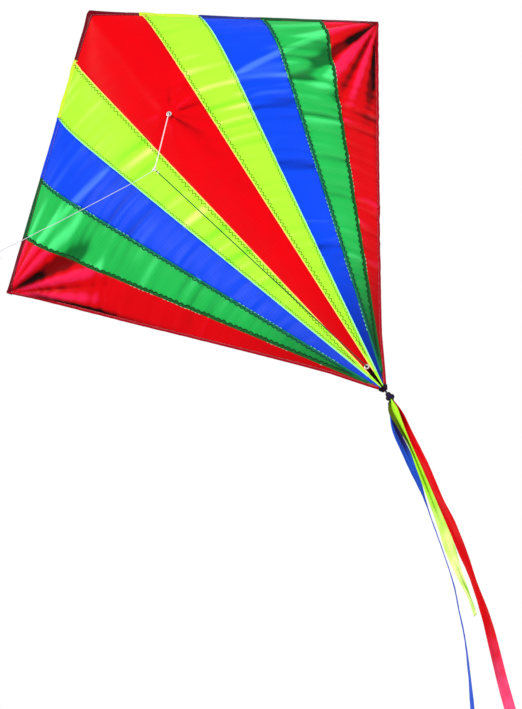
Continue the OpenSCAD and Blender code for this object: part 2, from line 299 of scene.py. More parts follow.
def moulded(name, colour):
    """Moulded plastic with a fine grain and slight scuffs."""
    material, tree, shader = new_material(name)
    where = coordinates(tree, "Object")
    grain = noise_value(tree, where, 1500, 2)
    scuffs = noise_value(tree, where, 120, 5)
    lighter = tuple(min(1, 2.2 * c + 0.02) for c in colour)
    tone = mix_colour(tree, math_node(tree, "MULTIPLY", scuffs, 0.4), colour, lighter)
    tree.links.new(tone, shader.inputs["Base Color"])
    rough = math_node(tree, "ADD", math_node(tree, "MULTIPLY", scuffs, 0.3), 0.3)
    tree.links.new(rough, shader.inputs["Roughness"])
    add_bump(tree, shader, grain, GRAIN_RELIEF)
    return material


def rod_finish(name, colour):
    """Fibreglass rod: fine strands along it under a clear gloss."""
    material, tree, shader = new_material(name)
    where = coordinates(tree, "Object")
    stretch = tree.nodes.new("ShaderNodeMapping")
    stretch.inputs["Scale"].default_value = (900, 900, 25)  # drawn out along z
    tree.links.new(where, stretch.inputs["Vector"])
    strands = noise_value(tree, stretch.outputs[0], 1, 3)
    lighter = tuple(3 * c + 0.03 for c in colour)
    tone = mix_colour(tree, math_node(tree, "MULTIPLY", strands, 0.6), colour, lighter)
    tree.links.new(tone, shader.inputs["Base Color"])
    shader.inputs["Roughness"].default_value = 0.3
    shader.inputs["Coat Weight"].default_value = 0.4
    add_bump(tree, shader, strands, FINE_RELIEF)
    return material


def plated(name, colour):
    """Rolled, plated metal with fine dull spots."""
    material, tree, shader = new_material(name)
    where = coordinates(tree, "Object")
    spots = noise_value(tree, where, 700, 4)
    darker = tuple(0.55 * c for c in colour)
    tone = mix_colour(tree, math_node(tree, "MULTIPLY", spots, 0.5), colour, darker)
    tree.links.new(tone, shader.inputs["Base Color"])
    rough = math_node(tree, "ADD", math_node(tree, "MULTIPLY", spots, 0.3), 0.15)
    tree.links.new(rough, shader.inputs["Roughness"])
    shader.inputs["Metallic"].default_value = 1
    add_bump(tree, shader, spots, FINE_RELIEF)
    return material


# Each cloth: its colour, then its darker tone, which is also its painted shade in folds, then its painted
# highlight on crests
CLOTH = {
    "red": sailcloth("sailcloth_red", (0.445, 0.0, 0.002), (0.006, 0.0, 0.0), (0.52, 0.008, 0.05)),
    "yellow": sailcloth("sailcloth_yellow", (0.25, 0.57, 0.022), (0.08, 0.46, 0.004), (0.52, 0.66, 0.14)),
    "blue": sailcloth("sailcloth_blue", (0.002, 0.037, 0.50), (0.0, 0.004, 0.06), (0.05, 0.14, 0.58)),
    "green": sailcloth("sailcloth_green", (0.010, 0.30, 0.050), (0.0, 0.025, 0.005), (0.045, 0.48, 0.13)),
}
# Ribbons: colour, darker tone that is also their painted shade, and painted highlight
RIBBON = {
    "red": sailcloth("ribbon_red", (0.44, 0.0, 0.002), (0.07, 0.0, 0.001), (0.56, 0.05, 0.14)),
    "yellow": sailcloth("ribbon_yellow", (0.27, 0.58, 0.015), (0.045, 0.065, 0.0), (0.56, 0.66, 0.24)),
    "blue": sailcloth("ribbon_blue", (0.012, 0.07, 0.48), (0.01, 0.0, 0.02), (0.08, 0.18, 0.60)),
}
HEM = {
    "trailing": sailcloth("hem_trailing", (0.24, 0.0, 0.006), (0.05, 0.0, 0.002), (0.55, 0.08, 0.14)),
    "red": sailcloth("hem_red", (0.09, 0.0, 0.004), (0.02, 0.0, 0.002), (0.5, 0.08, 0.12)),
    "yellow": sailcloth("hem_yellow", (0.36, 0.50, 0.02), (0.14, 0.17, 0.006), (0.5, 0.6, 0.15)),
    "blue": sailcloth("hem_blue", (0.003, 0.012, 0.13), (0.001, 0.003, 0.03), (0.1, 0.2, 0.6)),
    # The left blue hem is a lighter copy of the blue hem: painted light on the wing turned to the key light
    "blue_left": sailcloth("hem_blue_left_lit", (0.003, 0.03, 0.40), (0.001, 0.01, 0.1), (0.1, 0.2, 0.6)),
    "green": sailcloth("hem_green", (0.003, 0.05, 0.012), (0.001, 0.015, 0.005), (0.15, 0.5, 0.25)),
}
LAP = {
    "red_yellow": sailcloth("lap_red_yellow", (0.62, 0.46, 0.10), (0.4, 0.2, 0.01), (0.7, 0.6, 0.1)),
    "yellow_blue": sailcloth("lap_yellow_blue", (0.22, 0.55, 0.28), (0.08, 0.3, 0.2), (0.4, 0.6, 0.4)),
    "blue_green": sailcloth("lap_blue_green", (0.004, 0.10, 0.06), (0.001, 0.03, 0.02), (0.2, 0.4, 0.4)),
    "green_red": sailcloth("lap_green_red", (0.004, 0.075, 0.012), (0.001, 0.02, 0.004), (0.2, 0.4, 0.25)),
}
THREAD = {
    "red_yellow": cordage("thread_olive", (0.13, 0.10, 0.006), (0.05, 0.03, 0.0)),
    "yellow_blue": cordage("thread_green", (0.03, 0.12, 0.03), (0.01, 0.05, 0.015)),
    "blue_green": cordage("thread_teal", (0.002, 0.04, 0.025), (0.001, 0.012, 0.01)),
    "green_red": cordage("thread_forest", (0.002, 0.03, 0.006), (0.001, 0.010, 0.002)),
    "hem": cordage("thread_hem", (0.55, 0.25, 0.25), (0.35, 0.12, 0.12)),
    "mint": cordage("thread_mint", (0.25, 0.52, 0.34), (0.12, 0.3, 0.18)),
}
WHITE_CORD = cordage("cord_white", (0.58, 0.48, 0.51), (0.40, 0.31, 0.34))
DARK_CORD = cordage("cord_dark", (0.015, 0.045, 0.02), (0.005, 0.015, 0.008))
LINE_CORD = cordage("line_pale", (0.42, 0.42, 0.47), (0.28, 0.28, 0.33))
KNOT_CLOTH = cordage("knot_cloth", (0.012, 0.004, 0.03), (0.004, 0.001, 0.008), KNOT_STRAND_PITCH)
BLACK_CORD = cordage("cord_black", (0.012, 0.005, 0.012), (0.004, 0.002, 0.004))
PLASTIC = moulded("moulded_black", (0.012, 0.012, 0.013))
ROD = rod_finish("fibreglass", (0.015, 0.015, 0.018))
EYELET = plated("plated_metal", (0.62, 0.60, 0.58))
BINDING = sailcloth("binding_dark", (0.006, 0.001, 0.006), (0.002, 0.0, 0.002), (0.1, 0.015, 0.05))
POCKET_CLOTH = sailcloth("pocket_cloth", (0.16, 0.001, 0.008), (0.04, 0.0, 0.003), (0.4, 0.05, 0.08))


def dress_cad_nodes():
    """Every CAD node that stays in view gets a detailed material."""
    finishes = {"rod": ROD, "plastic_black": PLASTIC, "eyelet_metal": EYELET, "cord_white": WHITE_CORD,
                "cord_dark": DARK_CORD, "cord_black": BLACK_CORD}
    slots = {s["node"]: s["material_slot"] for s in frame["record"]["subparts"]}
    for name, node in frame["nodes"].items():
        finish = finishes.get(slots[name])
        if finish:
            for place in node.material_slots:
                place.material = finish


# ---------------------------------------------------------------- cords
# Routes of the three taut cords, as in the CAD
UPPER_LEG = [
    (0, -2, 9), (-14, -32, -16), (-28, -62, -41), (-42, -92, -66), (-56, -122, -91), (-69, -150, -114)
]
LOWER_LEG = [
    (0, -2, -446), (-7, -17, -413), (-14, -32, -380), (-21, -47, -347), (-28, -62, -314), (-35, -77, -281),
    (-42, -92, -248), (-49, -107, -215), (-56, -122, -182), (-63, -137, -149), (-69.5, -151, -118.5)
]
FLYING_LINE = [
    (-72, -156, -118), (-88, -190, -133), (-104, -224, -148), (-120, -258, -162), (-136, -292, -176),
    (-152, -326, -190), (-168, -360, -204), (-184, -394, -218), (-200, -428, -232), (-216, -462, -246),
    (-232, -496, -260), (-248, -530, -273), (-264, -564, -287), (-280, -598, -301), (-296, -632, -314),
    (-312, -666, -328)
]
CORD_POINTS = 16
TURN_STEPS = 14
HITCH_DISTANCE = 5.6
WRAP_DISTANCE = 3.0


def even_route(route):
    """The same route with enough points for a cord."""
    steps = math.ceil(CORD_POINTS / (len(route) - 1))
    points = [Vector(route[0])]
    for a, b in zip(route, route[1:]):
        points += [Vector(a).lerp(Vector(b), (k + 1) / steps) for k in range(steps)]
    return points


def add_cord(name, route, diameter, material, body):
    """A taut cord along a route of the CAD, in place of the CAD's plain one."""
    piece = curve_piece(name, [even_route(route)], diameter, material, body, round_steps=4)
    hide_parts(name.replace("_braid", ""))


def turns(centre, axis, radius, pitch, count):
    """Points of a wound cord round an axis."""
    axis = Vector(axis).normalized()
    u = axis.orthogonal().normalized()
    v = axis.cross(u)
    points = []
    for i in range(TURN_STEPS * count + 1):
        a = math.tau * i / TURN_STEPS
        rise = pitch * (i / TURN_STEPS - count / 2)
        points.append(Vector(centre) + radius * (math.cos(a) * u + math.sin(a) * v) + rise * axis)
    return points


def overhand(centre, axis, size):
    """Points of a pulled-tight knot: a trefoil, slightly flattened along its axis."""
    axis = Vector(axis).normalized()
    u = axis.orthogonal().normalized()
    v = axis.cross(u)
    points = []
    steps = 60
    for i in range(steps + 1):
        a = math.tau * i / steps
        flat_u = (math.sin(a) + 2 * math.sin(2 * a)) / 3
        flat_v = (math.cos(a) - 2 * math.cos(2 * a)) / 3
        points.append(Vector(centre) + size * (flat_u * u + flat_v * v - 0.4 * math.sin(3 * a) * axis))
    return points


def add_bridle_and_line():
    """Both legs of the bridle with their wraps, and the flying line with its hitch and end knot."""
    away = Vector((-16, -34, -14)).normalized()
    line_end = Vector(FLYING_LINE[-1])
    add_cord("bridle_upper_leg_braid", UPPER_LEG, BRIDLE_D, WHITE_CORD, "bridle")
    # Dark cord on the lower leg: painted shade, as this leg of the white bridle lies in shade
    add_cord("bridle_lower_leg_braid", LOWER_LEG, BRIDLE_D, DARK_CORD, "bridle")

    hitch_turns = turns(TOW_POINT + HITCH_DISTANCE * away, away, 0.9, 0.85, 3)
    hitch = curve_piece("line_hitch_wraps", [hitch_turns], 0.9, WHITE_CORD, "line")
    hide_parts("line_hitch")
    knot = curve_piece("line_end_overhand", [overhand(line_end, away, 1.3)], 1.1, WHITE_CORD, "line")
    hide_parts("line_end_knot")
    add_cord("flying_line_braid", FLYING_LINE, LINE_D, LINE_CORD, "line")

    for name, route in (("bridle_upper_wraps", UPPER_LEG), ("bridle_lower_wraps", LOWER_LEG)):
        end, before = Vector(route[-1]), Vector(route[-2])
        way = (end - before).normalized()
        wraps = turns(end - WRAP_DISTANCE * way, way, 1.0, 0.9, 3)
        curve_piece(name, [wraps], 0.8, WHITE_CORD, "bridle")


add_bridle_and_line()


# ---------------------------------------------------------------- shape of the sail
def bow_point(s):
    """The sail's cross curve: x and y at a distance from the spine."""
    bend = HALF - TIP_STRAIGHT
    on_arc = min(abs(s), bend)
    past = abs(s) - on_arc
    a = on_arc / bend * BOW_ANGLE
    x = SAIL_RADIUS * math.sin(a) + past * math.cos(a)
    return math.copysign(x, s), SAIL_RADIUS * (1 - math.cos(a)) + past * math.sin(a)


def sail_point(x, z):
    """Front of the smooth sail at a place on the flat cloth."""
    share = max(0.001, 1 - z / (NOSE_Z if z >= 0 else TAIL_Z))
    px, py = bow_point(x / share)
    return Vector((share * px, share * py, z))


def edge_pull(g, t):
    """How far the trailing edge is drawn in."""
    outer = max(0, (abs(g) - SEAMS[3]) / (1 - SEAMS[3]))
    return TRAILING_HOLLOW * outer * math.sin(math.pi * math.sqrt(t)) * min(1, t / 0.15)


def flat_place(g, t):
    """Place on the flat cloth, on the ray from the tail to share g of a leading edge."""
    x = t * HALF * g - math.copysign(edge_pull(g, t), g)
    return x, TAIL_Z + t * (LENGTH - NOSE_Z * abs(g))


# Folds that spread from each wing tip: angle above the line to the spine and spread in degrees, and height
TIP_CREASES = {
    -1: [(19, 3.0, 0.8), (4, 3.0, 1.5), (-8, 3.0, 1.6), (-21, 5.0, -2.6), (-32, 3.2, 2.4), (-39, 2.2, -0.9),
         (-46, 4.0, 1.3), (-53, 3.0, -2.4)],
    1: [(20, 4.0, 0.8), (6, 4.0, 1.4), (-14, 4.0, -2.6), (-24, 4.5, 2.0), (-33, 3.0, -1.4), (-39, 2.6, 1.8),
        (-49, 3.0, -2.0)],
}
# Folds that spread from the upper eyelet: angle up from the right and spread in degrees, and height
STAR_CREASES = [(2, 10, 0.6), (345, 8, -0.9), (36, 9, 0.5), (55, 8, -0.5), (95, 12, 0.4), (157, 14, 0.5),
                (215, 10, -0.5), (245, 9, 0.4), (289, 8, -0.9), (312, 9, -0.5)]
# How strongly each panel ripples, from the spine outwards
PANEL_RIPPLE = {-1: [0.25, 1.3, 1.0, 1.35, 0.6], 1: [0.25, 1.45, 1.0, 1.35, 0.9]}
RIPPLE_LENGTH = 9.5
RIPPLE_HEIGHT = 1.5
FINE_LENGTH = 0.55 * RIPPLE_LENGTH
GUST_LENGTH = 90
RIPPLE_SPAN = (60, 260)
# Factors on the heights of the folds above, and where the folds rise and fade away from the tip or the eyelet
TIP_FOLDS = 1.5
TIP_RISE, TIP_FADE = (0, 45), (70, 210)
STAR_FOLDS = 2.2
STAR_RISE = (4, 18)
STAR_REACH = 45
# Ridges over the rods: what the spine's adds near the nose, what it has further down, and the spar's
SPINE_TAUT = 0.8
SPINE_SLACK = 0.3
SPINE_SPAN = (-60, 40)
SPINE_WIDTH = 9
SPAR_HEIGHT = 1.3
SPAR_WIDTH = 6
SPAR_RIDGE_Z = 4
SPAR_RISE, SPAR_FADE = (70, 130), (250, 330)
# Within the first distance of an eyelet the cloth is flat, and past the second it is free
PINNED_SPAN = (4, 13)
# How far the cloth may sink behind the smooth sail, and how much less over a rod
DEEPEST = 3
ROD_HOLD = 2.4


def tip_fan(x, z, side):
    """Creases that spread from a wing tip."""
    inward = HALF - side * x
    r = math.hypot(inward, z)
    angle = math.degrees(math.atan2(z, max(inward, 0.01)))
    reach = TIP_FOLDS * swell(TIP_RISE, TIP_FADE, r)
    return reach * sum(height * bell(angle - at, spread) for at, spread, height in TIP_CREASES[side])


def eyelet_star(x, z):
    """Creases that spread from the upper eyelet."""
    r = math.hypot(x, z - UPPER_EYE_Z)
    angle = math.degrees(math.atan2(z - UPPER_EYE_Z, x)) % 360
    reach = STAR_FOLDS * smooth(*STAR_RISE, r) * math.exp(-r / STAR_REACH)
    total = 0
    for at, spread, height in STAR_CREASES:
        turn = (angle - at + 180) % 360 - 180
        total += height * bell(turn, spread)
    return reach * total


def spine_ridge(x, z):
    """The cloth stands proud along the spine, most of all near the nose."""
    taut = SPINE_TAUT * smooth(*SPINE_SPAN, z) + SPINE_SLACK
    return taut * bell(x, SPINE_WIDTH) * smooth(TAIL_Z, TAIL_Z + 60, z)


def spar_ridge(x, z):
    """The cloth stands proud where the bowed spar draws it tight towards the tips."""
    return SPAR_HEIGHT * bell(z - SPAR_RIDGE_Z, SPAR_WIDTH) * swell(SPAR_RISE, SPAR_FADE, abs(x))


def panel_place(x, z):
    """Where a place on the flat cloth lies: its ray, its panel from the spine outwards, and how near a seam.

    The ray is a share of the leading edge. Nearness is 0 in the middle of a panel and 1 at a seam.
    """
    down = z - TAIL_Z
    g = abs(x) * LENGTH / (HALF * down + NOSE_Z * abs(x)) if down > 1 else 0
    panel = sum(g > seam for seam in SEAMS)
    start, end = SEAM_BOUNDS[panel], SEAM_BOUNDS[panel + 1]
    to_seam = abs(2 * (g - start) / (end - start) - 1) if panel else 0.5
    return g, panel, to_seam


def seam_ripples(x, z):
    """Soft wrinkles across the panels, which pucker most close to the stitching."""
    run = math.hypot(x, z - TAIL_Z)
    g, panel, to_seam = panel_place(x, z)
    side = 1 if x > 0 else -1
    row = panel * side * 9.7  # keeps the panels' ripples apart
    slant = 5 * g * side
    wide = noise.noise(Vector((run / RIPPLE_LENGTH + slant, g * 2 + row, 0.5)))
    fine = noise.noise(Vector((run / FINE_LENGTH + slant, g * 5 + row, 7.5)))
    gusts = 0.55 + 1.2 * max(0, noise.noise(Vector((run / GUST_LENGTH, row, 3.5))) + 0.25)
    away = smooth(*RIPPLE_SPAN, run)
    return PANEL_RIPPLE[side][panel] * RIPPLE_HEIGHT * gusts * away * (wide + 0.4 * to_seam**2 * fine)


def creases(x, z):
    """Height of all folds and wrinkles together."""
    return eyelet_star(x, z) + seam_ripples(x, z) + tip_fan(x, z, -1) + tip_fan(x, z, 1)


def relief(x, z):
    """How far the cloth stands in front of the smooth sail; eyelets hold it flat, and rods hold it up."""
    pinned = min(math.hypot(x, z - eye) for eye in (UPPER_EYE_Z, LOWER_EYE_Z))
    height = (spine_ridge(x, z) + spar_ridge(x, z) + creases(x, z)) * smooth(*PINNED_SPAN, pinned)
    rod_near = max(bell(x, 8), bell(z, 9) * smooth(30, 80, abs(x)))
    return max(height, ROD_HOLD * rod_near - DEEPEST)


def cloth_point(x, z, lift=0.0):
    """Front of the creased sail at a place on the flat cloth, raised by lift."""
    p = sail_point(x, z)
    normal = (sail_point(x + 1, z) - p).cross(sail_point(x, z + 1) - p).normalized()
    return p + (relief(x, z) + lift) * normal


# ---------------------------------------------------------------- sail panels
ROWS = 220
COLUMN_MM = 3.6
TIP_COLUMN_MM = 2.2
EYELET_REACH = 5
EYELET_BORE = 1.9

# How dark each panel is near the tail, from the spine outwards: partly doubled seam allowances, partly
# painted shade, which is stronger on the right
TAIL_DARK_AND_SHADE = {-1: [0.2, 0.05, 0.3, 0.7, 0.3], 1: [0.2, 0.05, 0.75, 1.0, 0.6]}

# Angle and spread in degrees of the painted shade in the deep fold at each wing tip
FOLD_SHADE_ANGLE = {-1: -23, 1: -14}
FOLD_SPREAD = 7
FOLD_FADE = (40, 80)
# How strong the painted shade is along each trailing edge, how far in from it, and where along it from the
# tip
EDGE_SHADE = {-1: 0.8, 1: 0.4}
EDGE_INSET = 6.5
EDGE_WIDTH = 4
EDGE_RISE, EDGE_FADE = (20, 60), (110, 330)
# Distances up from the tail over which the dark tail of each panel and the painted shade in the corner fade
TAIL_DARK_FADE = (40, 240)
CORNER_FADE = (4, 14)
# Depths of a fold's hollow at which its painted shade starts and is full, and heights of a fold's ridge and
# of the spar's ridge for their painted highlight
VALLEY_SPAN = (0.2, 1.8)
CREST_SPAN = (0.3, 1.7)
BAND_SPAN = (0.3, 1.2)
KNOT_DROP = 5
KNOT_RADIUS = 2.6


def tail_shade(z, panel, side):
    """Darker near the tail, partly from doubled seam allowances and partly painted shade, with painted shade
    in the corner; the centre panel is darker below its lower eyelet.
    """
    up = z - TAIL_Z
    tail_dark_and_shade = TAIL_DARK_AND_SHADE[side][panel] * (1 - smooth(*TAIL_DARK_FADE, up)) + 1 - smooth(*CORNER_FADE, up)
    if panel == 0:
        tail_dark_and_shade += 0.8 * (1 - smooth(LOWER_EYE_Z - 8, LOWER_EYE_Z - 1, z))
    return tail_dark_and_shade


def tip_shade(x, z, side):
    """Painted shade in the deep fold at a wing tip, and painted shade in the drawn cloth inside the trailing
    edge beside it.
    """
    inward = max(HALF - side * x, 0.01)
    from_tip = math.hypot(inward, z)
    # Painted shade: in the fold near the tip, and along the trailing edge
    fold = bell(math.degrees(math.atan2(z, inward)) - FOLD_SHADE_ANGLE[side], FOLD_SPREAD)
    to_edge = (HALF * z - TAIL_Z * inward) / math.hypot(HALF, TAIL_Z)
    drawn = EDGE_SHADE[side] * bell(to_edge - EDGE_INSET, EDGE_WIDTH) * swell(EDGE_RISE, EDGE_FADE, from_tip)
    return (1 - smooth(*FOLD_FADE, from_tip)) * fold + drawn


def knot_shade(x, z):
    """The shadow of a cord's knot just below each eyelet."""
    distances = [math.hypot(x, z - eye + KNOT_DROP) for eye in (UPPER_EYE_Z, LOWER_EYE_Z)]
    return 0.9 * sum(bell(distance, KNOT_RADIUS) for distance in distances)


def cloth_shade(x, z, panel, side):
    """Deeper tone, 0 to 1: painted shade in the hollows of folds, at the tips and below the eyelets, and the
    darker tail.
    """
    valley_shade = 0.75 * smooth(*VALLEY_SPAN, -creases(x, z))
    return min(1, tail_shade(z, panel, side) + valley_shade + tip_shade(x, z, side) + knot_shade(x, z))


def cloth_highlight(x, z):
    """Painted highlight, 0 to 1, along the ridges of folds and over the spar's ridge."""
    crest_highlight = 0.85 * smooth(*CREST_SPAN, creases(x, z))
    spar_highlight = 0.6 * smooth(*BAND_SPAN, spar_ridge(x, z))
    return min(1, crest_highlight + spar_highlight)


def open_eyelets(piece):
    """Cut the cloth away inside the barrels of the two eyelets."""
    mesh = bmesh.new()
    mesh.from_mesh(piece.data)
    for eye in (UPPER_EYE_Z, LOWER_EYE_Z):
        centre = Vector((0, 0, eye * MM))
        for _ in range(3):
            reach = EYELET_REACH * MM
            near = [e for e in mesh.edges if min((v.co - centre).length for v in e.verts) < reach]
            bmesh.ops.subdivide_edges(mesh, edges=near, cuts=1, use_grid_fill=True)
        bore = EYELET_BORE * MM
        inside = [f for f in mesh.faces if (f.calc_center_median() - centre).length < bore]
        bmesh.ops.delete(mesh, geom=inside, context="FACES")
    mesh.to_mesh(piece.data)
    mesh.free()


def paint(piece, name, values):
    """One number for each point, which the cloth's material reads."""
    layer = piece.data.attributes.new(name, "FLOAT", "POINT")
    layer.data.foreach_set("value", values)


def panel_size(side, inner, outer):
    """Area and longest side of a flat panel; the centre panel has the nose on top of its triangle."""
    start = (HALF * inner, NOSE_Z * (1 - abs(inner)))
    end = (HALF * outer, NOSE_Z * (1 - outer))
    corner = [(0, TAIL_Z), start, end]
    area = abs(sum(a[0] * b[1] - b[0] * a[1] for a, b in zip(corner, corner[1:] + corner[:1]))) / 2
    long_side = max(math.dist(corner[0], start), math.dist(corner[0], end))
    if side == "centre":
        area += HALF * outer * NOSE_Z * outer
        long_side = LENGTH
    return area, long_side


def add_panel(side, colour, inner, outer):
    """One cloth panel, which runs from the tail to a share of the leading edge."""
    node = "panel_%s_%s" % (side, colour)
    sign = {"left": -1, "right": 1, "centre": 1}[side]
    start, end = sign * inner, sign * outer
    panel = 0 if side == "centre" else SEAMS.index(inner) + 1
    width = LENGTH * abs(end - start) * 0.55
    spacing = COLUMN_MM if panel < 4 else TIP_COLUMN_MM
    columns = max(8, round(width / spacing / 2) * 2)
    grid, uvs, shade, shine = [], [], [], []
    for r in range(ROWS + 1):
        t = PANEL_START + (1 - PANEL_START) * r / ROWS
        places = [flat_place(start + (end - start) * c / columns, t) for c in range(columns + 1)]
        if sign < 0:
            places.reverse()
        grid.append([cloth_point(x, z) for x, z in places])
        uvs.append([(x * MM, z * MM) for x, z in places])
        shade += [cloth_shade(x, z, panel, sign) for x, z in places]
        shine += [cloth_highlight(x, z) for x, z in places]
    piece = grid_piece(node + "_cloth", grid, CLOTH[colour], "kite", uvs)
    paint(piece, "shade", shade)
    paint(piece, "shine", shine)
    if side == "centre":
        open_eyelets(piece)
    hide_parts(node)
    area, long_side = panel_size(side, inner, outer)


def add_panels():
    add_panel("centre", "red", -SEAMS[0], SEAMS[0])
    for side in ("left", "right"):
        for colour, inner, outer in zip(("yellow", "blue", "green", "red"), SEAMS, SEAMS[1:] + [1]):
            add_panel(side, colour, inner, outer)


add_panels()


# ---------------------------------------------------------------- seams: laps, edges and zigzag stitching
# Each seam from the spine outwards: its edge line from and to, then its zigzag's middle, swing, pitch and
# thickness, all in mm out from the seam
SEAM_KINDS = {
    "red_yellow": (-0.3, 1.0, 3.8, 1.5, 6.2, 0.7),
    "yellow_blue": (-1.2, 0.3, -3.4, 0.9, 5.2, 0.5),
    "blue_green": (-0.2, 2.6, 3.6, 0.9, 8.0, 1.5),
    "green_red": (-3.4, -0.2, -4.0, 1.0, 8.5, 1.6),
}
LAP_LIFT = 0.45
THREAD_LIFT = 0.6
DASH_LIFT = 0.65
# Share of a seam's length at which its edge line, its zigzag and its dashes start
SEAM_START = 0.05
ZIGZAG_START = 0.09
DASH_START = 0.12
# Distances short of a seam's upper end at which its zigzag and its dashes stop, and the gap between dashes
ZIGZAG_STOP = 6
DASH_STOP = 12
DASH_GAP = 3.2
STITCH_POINTS = 6
STRIP_ROW = 3.5


def seam_ends(side, g):
    """Tail and leading-edge ends of a seam on the flat cloth."""
    return Vector((0, TAIL_Z)), Vector((side * HALF * g, NOSE_Z * (1 - g)))


def seam_length(g):
    start, end = seam_ends(1, g)
    return (end - start).length


def seam_place(side, g, run, out):
    """Place on the flat cloth at a run along a seam and a distance out from it, away from the spine."""
    start, end = seam_ends(side, g)
    way = (end - start).normalized()
    normal = side * Vector((way.y, -way.x))
    p = start + run * way + out * normal
    return p.x, p.y


def add_strip(name, side, g, inner, outer, material):
    """Folded edge of one panel over the next, from inner to outer in mm out from the seam."""
    columns = 2
    length = seam_length(g)
    rows = round(length / STRIP_ROW)
    grid, uvs = [], []
    for r in range(rows + 1):
        run = length * (SEAM_START + (1 - SEAM_START) * r / rows) - 1.0 * (r == rows)
        row, row_uv = [], []
        for c in range(columns + 1):
            out = inner + (outer - inner) * c / columns
            x, z = seam_place(side, g, run, out)
            row.append(cloth_point(x, z, LAP_LIFT))
            row_uv.append((x * MM, z * MM))
        grid.append(row if side > 0 else row[::-1])
        uvs.append(row_uv if side > 0 else row_uv[::-1])
    grid_piece(name, grid, material, "kite", uvs, thickness=0.2)


def add_zigzag(name, side, g, centre, swing, pitch, thickness, material):
    """Wavy row of zigzag stitches, a little uneven, and narrower towards the tail."""
    length = seam_length(g)
    points = []
    run, phase = length * ZIGZAG_START, 0
    while run < length - ZIGZAG_STOP:
        uneven = noise.noise(Vector((run / 17, g * 10, side * 5)))
        wide = swing * (1 + 0.5 * uneven) * smooth(0, 0.25, run / length)
        x, z = seam_place(side, g, run, centre + wide * math.sin(phase) + 0.6 * uneven)
        points.append(cloth_point(x, z, THREAD_LIFT))
        run += pitch / STITCH_POINTS * (1 + 0.5 * uneven)
        phase += math.tau / STITCH_POINTS
    curve_piece(name, [points], thickness, material, "kite", round_steps=1)


def add_dashes(name, side, g, out, material):
    """Broken pale line where the lower thread shows along a seam."""
    length = seam_length(g)
    lines = []
    run = length * DASH_START
    while run < length - DASH_STOP:
        stitch = 3.0 + 2.5 * noise.noise(Vector((run / 9, side * 4, g * 7)))
        if noise.noise(Vector((run / 40, g * 3, side * 8))) > 0.1:
            places = [seam_place(side, g, run + step * stitch / 2, out) for step in range(3)]
            lines.append([cloth_point(x, z, DASH_LIFT) for x, z in places])
        run += stitch + DASH_GAP
    curve_piece(name, lines, 0.6, material, "kite", round_steps=1)


def add_seams():
    for side, word in SIDES:
        for (kind, sizes), g in zip(SEAM_KINDS.items(), SEAMS):
            inner, outer, centre, swing, pitch, thickness = sizes
            tag = "%s_%s" % (kind, word)
            add_strip("seam_edge_" + tag, side, g, inner, outer, LAP[kind])
            add_zigzag("zigzag_" + tag, side, g, centre, swing, pitch, thickness, THREAD[kind])
        add_dashes("dashes_blue_green_" + word, side, SEAMS[2], -0.3, THREAD["mint"])
        add_dashes("dashes_green_red_" + word, side, SEAMS[3], 0.0, THREAD["mint"])


add_seams()


# ---------------------------------------------------------------- hems
LEADING_HEM = 8.5
TRAILING_HEM = 4.0
HEM_COLOURS = ["red", "yellow", "blue", "green", "red"]
TRAILING_START = 0.02
# Across a hem: share of its width in from the edge, and height above the cloth in mm
HEM_PROFILE = [
    (0.0, 0.1), (0.04, 0.5), (0.25, 0.75), (0.55, 0.6), (0.78, 0.35), (0.84, 0.22), (0.9, 0.4), (1.0, 0.32)
]
STITCH_LINE = 0.84
STITCH_LIFT = 0.42
STITCH_PITCH = 3.4
STITCH = 2.3


def hem_place(side, edge, share, inset):
    """Place on the flat cloth at a share along an edge and a distance in from it."""
    if edge == "leading":
        x, z = flat_place(side * share, 1)
        inward = Vector((-side * NOSE_Z, -HALF)).normalized()
    else:
        x, z = flat_place(side, max(share, PANEL_START))
        inward = Vector((side * TAIL_Z, HALF)).normalized()
    p = Vector((x, z)) + inset * inward
    return p.x, p.y


def edge_length(edge):
    """From the nose or the tail to a wing tip on the flat cloth."""
    return math.hypot(HALF, NOSE_Z if edge == "leading" else TAIL_Z)


def add_hem(side, word, edge, start, end, colour, width):
    """Folded hem of one panel, from one share of its edge to another, a little puffed."""
    length = edge_length(edge) * (end - start)
    rows = max(4, round(length / 3.2))
    grid, uvs = [], []
    for r in range(rows + 1):
        share = start + (end - start) * r / rows
        row, row_uv = [], []
        for inset, lift in HEM_PROFILE:
            x, z = hem_place(side, edge, share, inset * width)
            puff = 1 + 0.5 * noise.noise(Vector((share * length / 14 * 3, inset, side * 3)))
            row.append(cloth_point(x, z, lift * puff))
            row_uv.append((x * MM, z * MM))
        flip = (side > 0) == (edge == "leading")
        grid.append(row if flip else row[::-1])
        uvs.append(row_uv if flip else row_uv[::-1])
    name = "hem_%s_%s_%s" % (word, edge, colour if edge == "trailing" or start > 0 else "centre_red")
    finish = HEM["trailing"] if edge == "trailing" else HEM.get(colour + "_" + word, HEM[colour])
    grid_piece(name, grid, finish, "kite", uvs, thickness=0.25)


def add_hem_stitches(side, word, edge, width):
    """Row of short straight stitches near the inner edge of a hem."""
    total = edge_length(edge)
    start = TRAILING_START if edge == "trailing" else 0.006
    lines = []
    for i in range(round(total * 0.97 / STITCH_PITCH)):
        ends = []
        for run in (i * STITCH_PITCH, i * STITCH_PITCH + STITCH):
            x, z = hem_place(side, edge, run / total + start, STITCH_LINE * width)
            ends.append(cloth_point(x, z, STITCH_LIFT))
        lines.append(ends)
    curve_piece("hem_stitches_%s_%s" % (word, edge), lines, 0.4, THREAD["hem"], "kite", round_steps=0)


